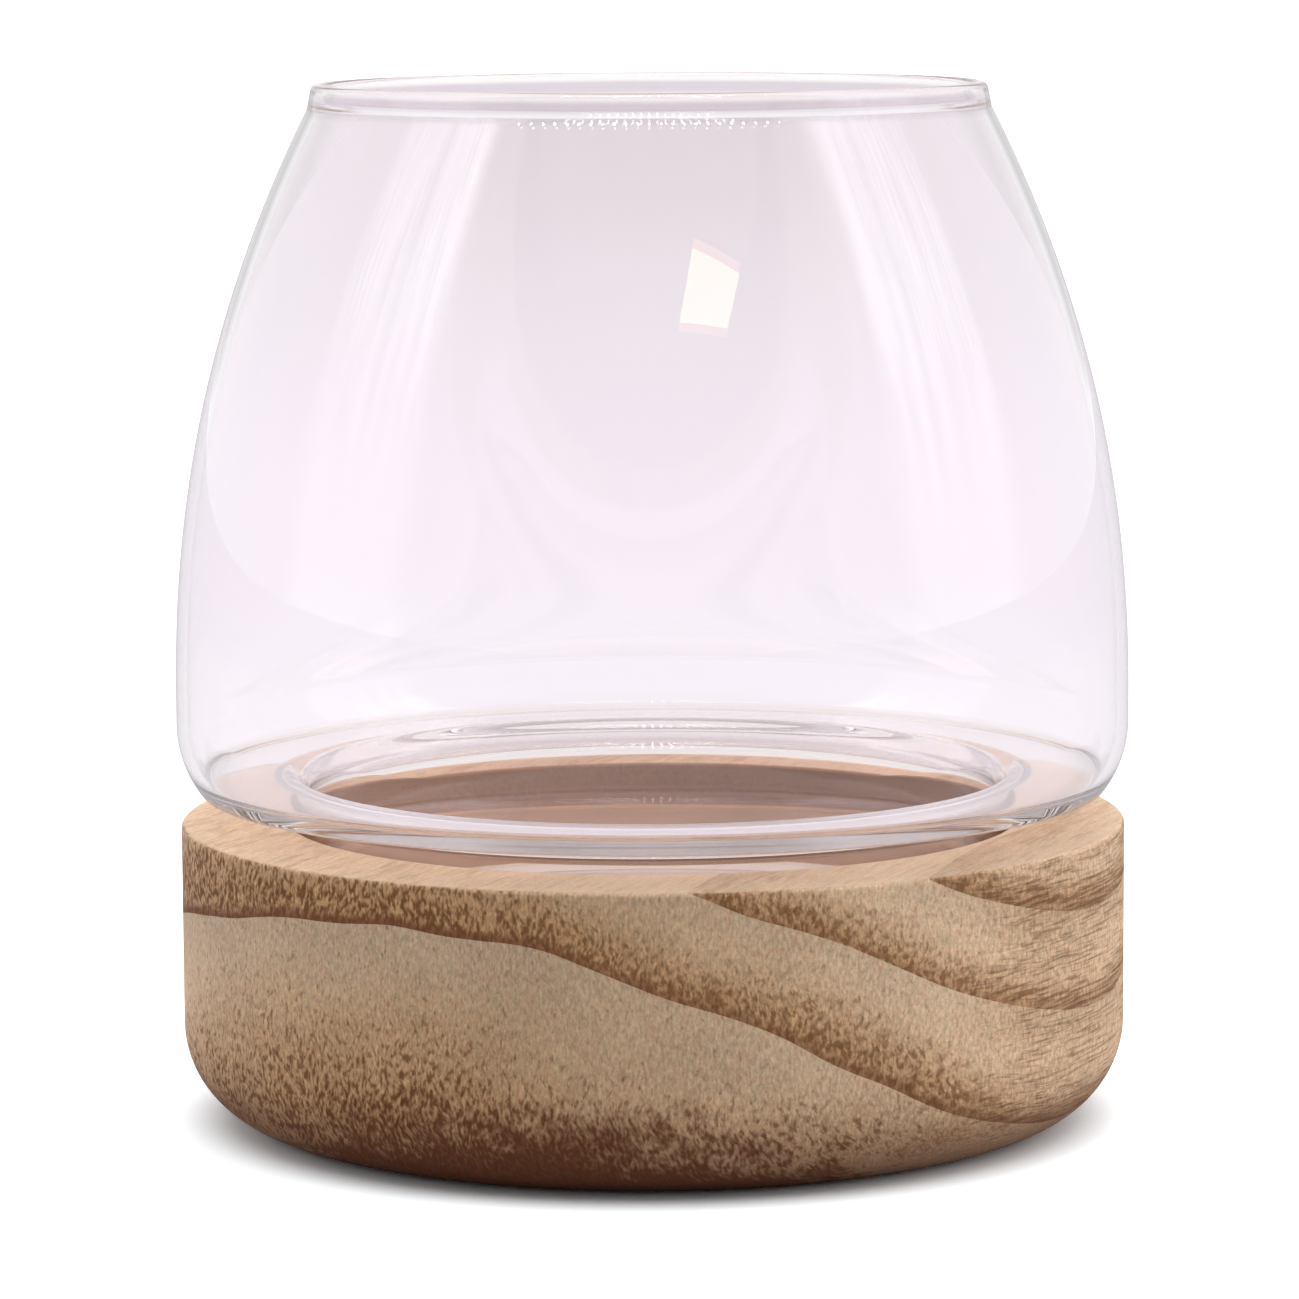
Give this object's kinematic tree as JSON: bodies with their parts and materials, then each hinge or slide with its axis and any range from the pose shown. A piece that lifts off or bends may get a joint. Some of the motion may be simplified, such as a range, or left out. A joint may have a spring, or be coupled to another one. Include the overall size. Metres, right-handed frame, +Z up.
{
  "type": "glass terrarium",
  "caption": "Open clear glass vessel with a wide belly, a drawn-in mouth and a stepped foot, standing in the recess of a round solid wooden base.",
  "frame": {"origin": "centre of the wooden base's flat underside", "axes": "+Z up along the axis that both pieces are turned about, from the base to the vessel's open mouth"},
  "size_m": [0.1512, 0.1512, 0.1642],
  "materials": {
    "wood": "bare turned hardwood with open pores, dark growth lines and speckled grain, darker towards the rounded foot",
    "glass": "clear blown glass with a faint cool pink cast, smooth, with a melted rim"
  },
  "bodies": {
    "base": {"wooden_base": "wood"},
    "vessel": {"glass_vessel": "glass"}
  },
  "joints": [
    {"name": "vessel_lift", "type": "slide", "parent": "base", "child": "vessel", "axis": [0, 0, 1], "range_m": [0, 0.05]}
  ]
}
